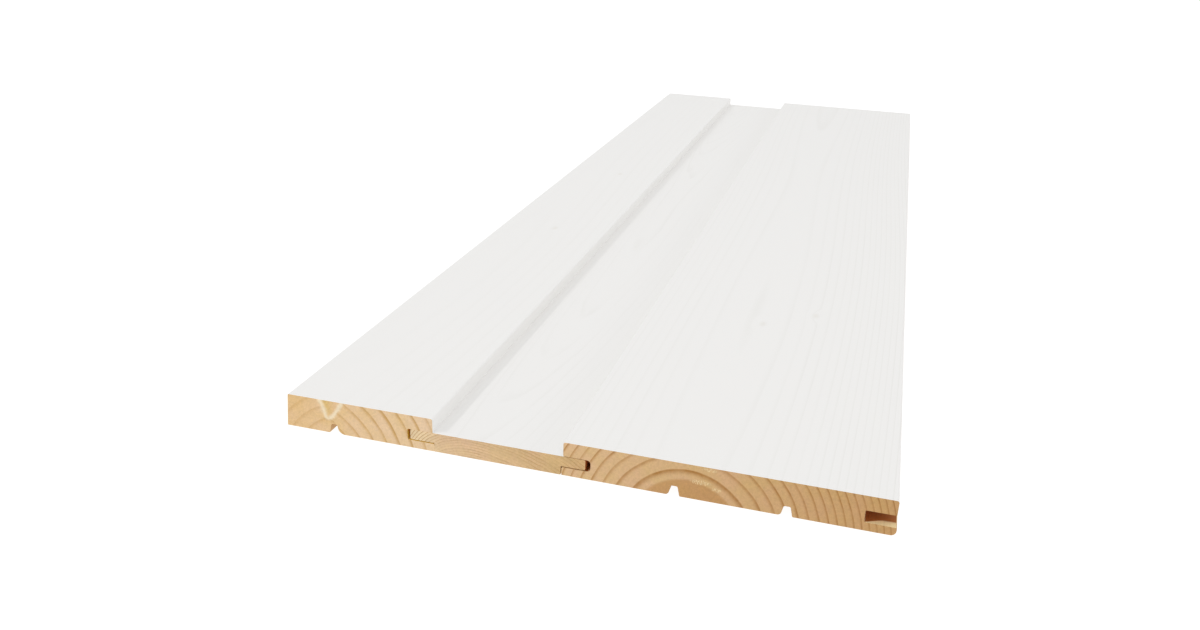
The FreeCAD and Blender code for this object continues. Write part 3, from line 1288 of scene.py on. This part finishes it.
    def dress(self, mesh: bpy.types.Mesh) -> None:
        """Gives the piece its finishes, in the order of Finish.

        Args:
            mesh: the piece's mesh.
        """
        finishes = {
            Finish.PAINT: SatinPaint(),
            Finish.BARE: BarePine("planed_pine", paleness=0.3, mark_pitch=3.0, mark_depth=0.006,
                                  mark_tone=0.006),
            Finish.END: BarePine("sawn_pine_end", specks=0.06),
            # groove walls, gaps and tongue tips get painted shade over the wood, for the little light that
            # reaches them
            Finish.GROOVE: BarePine("milled_pine_groove_painted_shade", painted_groove_shade=0.95),
            # the shelf is painted very pale, as a painted highlight where the light falls on it from the
            # front, with painted shade further in
            Finish.SHELF: BarePine("milled_pine_shelf_painted_light", paleness=0.95, pale_shade="FEE8B2", painted_groove_shade=0.95,
                                   unshaded_ends=self.unshaded_shelf),
            # kerf walls get painted shade: the summer wood's colour laid over the wood
            Finish.KERF: BarePine("sawn_pine_kerf_painted_shade", painted_kerf_shade=0.55),
            Finish.RIP: BarePine("ripped_pine", paleness=0.3, mark_pitch=1.6, mark_depth=0.1, mark_tone=0.05,
                                 mark_bow=0.009),
        }
        for finish in Finish:
            mesh.materials.append(finishes[finish].make(self.node, self.growth, self.low, self.high))


@dataclass
class CutBoard(MilledPiece):
    """Grooved board that was ripped to part of its width."""

    def kerf_middles(self) -> tuple[float, ...]:
        """Middle of the one relief kerf across the panel."""
        return (self.high.x - self.profile.back_lip_reach - self.profile.kerf_from_joint,)

    def corners(self) -> list[Corner]:
        """Lists the corners of the section, in order round it.

        Returns:
            The corners.
        """
        shape = self.profile
        rip = self.low.x
        kerf, = self.kerf_middles()
        return [
            Corner(rip, 0.0, shape.sawn_radius),
            *self.kerf(kerf, Side.RIGHT, shape.worn_kerf_radius),
            *self.groove(self.high.x, Side.RIGHT, shape.joint_back_radius, shape.floor_radius),
            Corner(rip + shape.rip_lean, shape.board_thickness, shape.sawn_radius),
        ]

    def finish_of(self, centre: Vector, normal: Vector) -> Finish:
        """Chooses the finish of a face: the rip cut was made after the painting, so it is bare."""
        ripped = centre.x < self.low.x + self.profile.rip_lean and abs(normal.z) < FACING
        return Finish.RIP if ripped and not self.is_end(normal) else super().finish_of(centre, normal)


@dataclass
class TonguedStrip(MilledPiece):
    """Thin strip with a tongue on each edge, painted a little way past its shoulders.

    Args:
        paint_overlap: how far the paint goes on past a shoulder, over the tongue.
        far_shoulder_reach: how far the right shoulder stands out past the solid's, to narrow the gap there.
    """

    paint_overlap: float = 2.0
    far_shoulder_reach: float = 0.45

    def paint_ends(self) -> tuple[float, float]:
        """Where the paint on the face stops across the panel."""
        hidden = self.profile.tongue_length - self.paint_overlap
        return self.low.x + hidden, self.high.x - hidden

    def finish_of(self, centre: Vector, normal: Vector) -> Finish:
        """Chooses the finish of a face: the paint on the strip's face stops inside the grooves.

        Args:
            centre: the face's middle, in millimetres.
            normal: the way that it faces.

        Returns:
            Its finish.
        """
        if self.is_end(normal):
            return Finish.END
        # the tongue tips sit deep in the grooves, so they get the finish with painted shade
        if abs(normal.x) > FACING and centre.z > self.profile.tongue_low:
            return Finish.GROOVE
        start, end = self.paint_ends()
        return Finish.PAINT if normal.z > SQUARE and start < centre.x < end else Finish.BARE

    def corners(self) -> list[Corner]:
        """Lists the corners of the section, in order round it.

        Returns:
            The corners.
        """
        shape = self.profile
        left_tip = self.low.x
        right_tip = self.high.x
        left_shoulder = left_tip + shape.tongue_length
        right_shoulder = right_tip - shape.tongue_length + self.far_shoulder_reach
        paint_start, paint_end = self.paint_ends()
        return [
            Corner(left_shoulder, 0.0, shape.shoulder_radius),
            Corner(right_shoulder, 0.0, shape.shoulder_radius),
            Corner(right_shoulder, shape.tongue_low),
            Corner(right_tip, shape.tongue_low, shape.tip_radius),
            Corner(right_tip, shape.strip_thickness, shape.tip_radius),
            Corner(paint_end, shape.strip_thickness),
            Corner(paint_start, shape.strip_thickness),
            Corner(left_tip, shape.strip_thickness, shape.tip_radius),
            Corner(left_tip, shape.tongue_low, shape.tip_radius),
            Corner(left_shoulder, shape.tongue_low),
        ]


@dataclass
class FullBoard(MilledPiece):
    """Grooved board of full width, with a groove in both edges."""

    def kerf_middles(self) -> tuple[float, ...]:
        """Places the two relief kerfs.

        Returns:
            Their middles across the panel.
        """
        shape = self.profile
        joint_kerf = self.low.x + shape.back_lip_reach + shape.kerf_from_joint
        free_kerf = self.high.x - shape.back_lip_reach - shape.kerf_from_free_edge
        return joint_kerf, free_kerf

    def corners(self) -> list[Corner]:
        """Lists the corners of the section, in order round it.

        Returns:
            The corners.
        """
        shape = self.profile
        joint_kerf, free_kerf = self.kerf_middles()
        return [
            *self.kerf(joint_kerf, Side.LEFT, shape.kerf_lead_radius),
            *self.kerf(free_kerf, Side.LEFT, shape.kerf_lead_radius),
            *self.groove(self.high.x, Side.RIGHT, shape.free_back_radius, shape.floor_radius),
            *reversed(self.groove(self.low.x, Side.LEFT, shape.joint_back_radius, shape.joint_floor_radius)),
        ]


# Floor, light and camera


@dataclass(frozen=True)
class GlowingWhite:
    """White matt paint on a surface that is lit from behind, so that it looks white in any light.

    Args:
        name: what the surface is.
        glow: strength of its own light.
        shade: sRGB colour that it has by itself.
        roughness: how much it scatters what it reflects.
    """

    name: str
    glow: float
    shade: str = "808080"
    roughness: float = 0.9

    def make(self) -> bpy.types.Material:
        """Makes the material.

        Returns:
            The material.
        """
        material = new_material(self.name)
        Wiring(material.node_tree).feed(material.node_tree.nodes[SHADER], {
            "Base Color": linear(self.shade), "Roughness": self.roughness, "Specular IOR Level": 0.0,
            "Emission Color": WHITE, "Emission Strength": self.glow})
        return material


@dataclass
class LightTable:
    """Plain white floor that glows, so that hardly a shadow shows on it.

    Args:
        half_side: half its width and its length.
        drop: how far under the panel it lies, so that the two don't share a plane.
        finish: its finish.
    """

    half_side: float = 4000.0
    drop: float = 0.2
    finish: GlowingWhite = GlowingWhite("white_matt_floor", 0.95)

    def build(self) -> bpy.types.Object:
        """Builds the floor.

        Returns:
            Its object.
        """
        shape = bmesh.new()
        bmesh.ops.create_grid(shape, x_segments=1, y_segments=1, size=self.half_side * MM)
        bmesh.ops.translate(shape, verts=list(shape.verts), vec=(0.0, 0.0, cad_box[0].z - self.drop * MM))
        floor = add_object("floor", shape)
        floor.data.materials.append(self.finish.make())
        floor.visible_diffuse = False
        return floor


@dataclass
class Cyclorama:
    """Round white wall on the floor, so that no horizon shows behind the panel.

    The camera sees it, but it lights nothing, mirrors in nothing and casts no shadow.

    Args:
        radius: its radius.
        height: its height.
        segments: number of flats round it.
        finish: its finish.
    """

    radius: float = 3900.0
    height: float = 5000.0
    segments: int = 64
    finish: GlowingWhite = GlowingWhite("white_matt_wall", 1.0)

    def build(self) -> bpy.types.Object:
        """Builds the wall.

        Returns:
            Its object.
        """
        shape = bmesh.new()
        radius = self.radius * MM
        bmesh.ops.create_cone(shape, segments=self.segments, radius1=radius, radius2=radius,
                              depth=self.height * MM)
        bmesh.ops.translate(shape, verts=list(shape.verts), vec=(0.0, 0.0, self.height / 2 * MM))
        bmesh.ops.reverse_faces(shape, faces=list(shape.faces))
        wall = add_object("wall", shape)
        wall.data.materials.append(self.finish.make())
        wall.visible_diffuse = False
        wall.visible_glossy = False
        wall.visible_shadow = False
        return wall


@dataclass(frozen=True)
class Softbox:
    """Flat lamp that faces the panel's middle.

    Args:
        name: what it is for.
        place: its middle.
        width: its side that lies level.
        height: its other side.
        watts: its power.
    """

    name: str
    place: tuple[float, float, float]
    width: float
    height: float
    watts: float

    def build(self) -> bpy.types.Object:
        """Hangs the lamp.

        Returns:
            Its object.
        """
        lamp = bpy.data.lights.new(self.name, "AREA")
        lamp.shape = "RECTANGLE"
        lamp.size = self.width * MM
        lamp.size_y = self.height * MM
        lamp.energy = self.watts
        holder = bpy.data.objects.new(self.name, lamp)
        holder.location = Vector(self.place) * MM
        holder.rotation_mode = "QUATERNION"
        holder.rotation_quaternion = (-holder.location).to_track_quat("-Z", "Y")
        bpy.context.scene.collection.objects.link(holder)
        return holder


@dataclass
class Studio:
    """White room with three lamps.

    Args:
        room_strength: strength of the light that the room itself gives.
        key: small lamp over the front left corner.
        top: wide softbox above.
        side: low softbox to the right.
    """

    room_strength: float = 0.803
    key: Softbox = Softbox(
        "key lamp", place=(-2780.0, -1950.0, 3000.0), width=160.0, height=160.0, watts=27.0)
    top: Softbox = Softbox(
        "top softbox", place=(700.0, 300.0, 2500.0), width=2400.0, height=2000.0, watts=2.2)
    side: Softbox = Softbox(
        "side softbox", place=(2300.0, 300.0, 800.0), width=800.0, height=600.0, watts=4.0)

    def build(self) -> None:
        """Makes the room's light and hangs the lamps."""
        scene = bpy.context.scene
        scene.world = bpy.data.worlds.new("white room")
        scene.world.use_nodes = True
        sky = scene.world.node_tree.nodes["Background"]
        Wiring(scene.world.node_tree).feed(sky, {"Color": WHITE, "Strength": self.room_strength})
        for lamp in (self.key, self.top, self.side):
            log.info("%s hung", lamp.build().name)
        scene.view_settings.view_transform = "Standard"


@dataclass
class Viewpoint:
    """Camera at the photograph's place, turned a little about its own axis.

    Args:
        eye: where it stands.
        aim: the point that it looks at.
        roll_degrees: how far it is turned about its own axis.
        lens: its focal length.
        film_width: width of its film.
        nearest: distance from which on it sees.
    """

    eye: tuple[float, float, float] = (95.2, -661.2, 202.5)
    aim: tuple[float, float, float] = (-26.6, -216.7, 8.6)
    roll_degrees: float = 2.03
    lens: float = 30.44
    film_width: float = 36.0
    nearest: float = 10.0

    def build(self) -> bpy.types.Object:
        """Makes the camera and looks through it.

        Returns:
            The camera's object.
        """
        data = bpy.data.cameras.new("camera")
        data.lens = self.lens
        data.sensor_width = self.film_width
        data.clip_start = self.nearest * MM
        camera = bpy.data.objects.new("camera", data)
        camera.location = Vector(self.eye) * MM
        look = Vector(self.aim) - Vector(self.eye)
        roll = Quaternion((0.0, 0.0, 1.0), math.radians(self.roll_degrees))
        camera.rotation_mode = "QUATERNION"
        camera.rotation_quaternion = look.to_track_quat("-Z", "Y") @ roll
        bpy.context.scene.collection.objects.link(camera)
        bpy.context.scene.camera = camera
        return camera


# The three pieces of wood

# in each growth, painted_groove_shade is the colour of the painted shade inside the piece's grooves
CUT_BOARD_GROWTH = Growth(
    pith_x=-108.4, pith_z=-13.0, ring_start=31.5, ring_rate=0.189, ring_gain=0.0,
    early="EFCE9D", blush="F2D2AC", late="C8994C", left_tint="FDF5E2", right_tint="FFFFFF", painted_groove_shade="FFDA58",
    waver=0.35, fade=0.3, crisp_to=-200.0, strong_year=1, telegraph=0.4, right_telegraph=0.4,
    bend_x=6.0, bend_z=3.0, rise=0.004,
    branches=(Branch(x=-85.8, y=-109.5, radius=1.6), Branch(x=-82.0, y=26.3, radius=1.4)),
    spike=SpikeKnot(apex_x=-99.4, apex_z=5.9, face_x=-97.9, face_z=14.0, face_half_width=4.7,
                    left_rings=0.6, left_part=4.5, right_part=10.5))
STRIP_GROWTH = Growth(
    pith_x=-42.0, pith_z=-12.0, ring_start=12.4, ring_rate=0.9, ring_gain=0.0,
    early="E8C89D", blush="ECC8A5", late="C79C66", left_tint="FFFFFF", right_tint="EEE6C8", painted_groove_shade="D27A38",
    waver=0.8, fade=0.65, crisp_to=-54.0, strong_year=1, telegraph=0.75, right_telegraph=0.3,
    bend_x=4.0, bend_z=1.0, rise=0.016,
    right_reach=2.1, year_tone=0.07)
FULL_BOARD_GROWTH = Growth(
    pith_x=44.9, pith_z=-12.0, ring_start=24.0, ring_rate=0.167, ring_gain=0.0028,
    early="E4C089", blush="E6BE92", late="B0782F", left_tint="FFFFFF", right_tint="E4D6BC", painted_groove_shade="B16420",
    waver=0.35, fade=0.25, crisp_to=-200.0, strong_year=-1, telegraph=0.65, right_telegraph=1.5,
    bend_x=3.0, bend_z=2.0, rise=0.003,
    heart_radius=20.3,
    branches=(Branch(x=52.7, y=-212.3, radius=1.5), Branch(x=75.9, y=-193.2, radius=1.5)),
    torn=(TornPatch(x=49.5, z=7.4, half_width=4.2, half_height=1.2),
          TornPatch(x=55.2, z=5.4, half_width=2.2, half_height=0.9),
          TornPatch(x=52.5, z=13.0, half_width=3.2, half_height=0.8)))


def main() -> None:
    profile = Profile()
    pieces = [
        CutBoard("cut_grooved_board", CUT_BOARD_GROWTH, profile, groove_high=7.98, face_lip_radius=0.0),
        TonguedStrip("tongued_strip", STRIP_GROWTH, profile),
        FullBoard("full_grooved_board", FULL_BOARD_GROWTH, profile, groove_high=8.15, unshaded_shelf=3.3),
    ]
    for piece in pieces:
        made = piece.build()
        log.info("%s: %d faces", made.name, len(made.data.polygons))
    log.info("%s laid", LightTable().build().name)
    log.info("%s put up", Cyclorama().build().name)
    Studio().build()
    log.info("%s placed", Viewpoint().build().name)


if __name__ == "__main__":
    logging.basicConfig(level=logging.INFO, format="%(name)s: %(message)s")
    main()
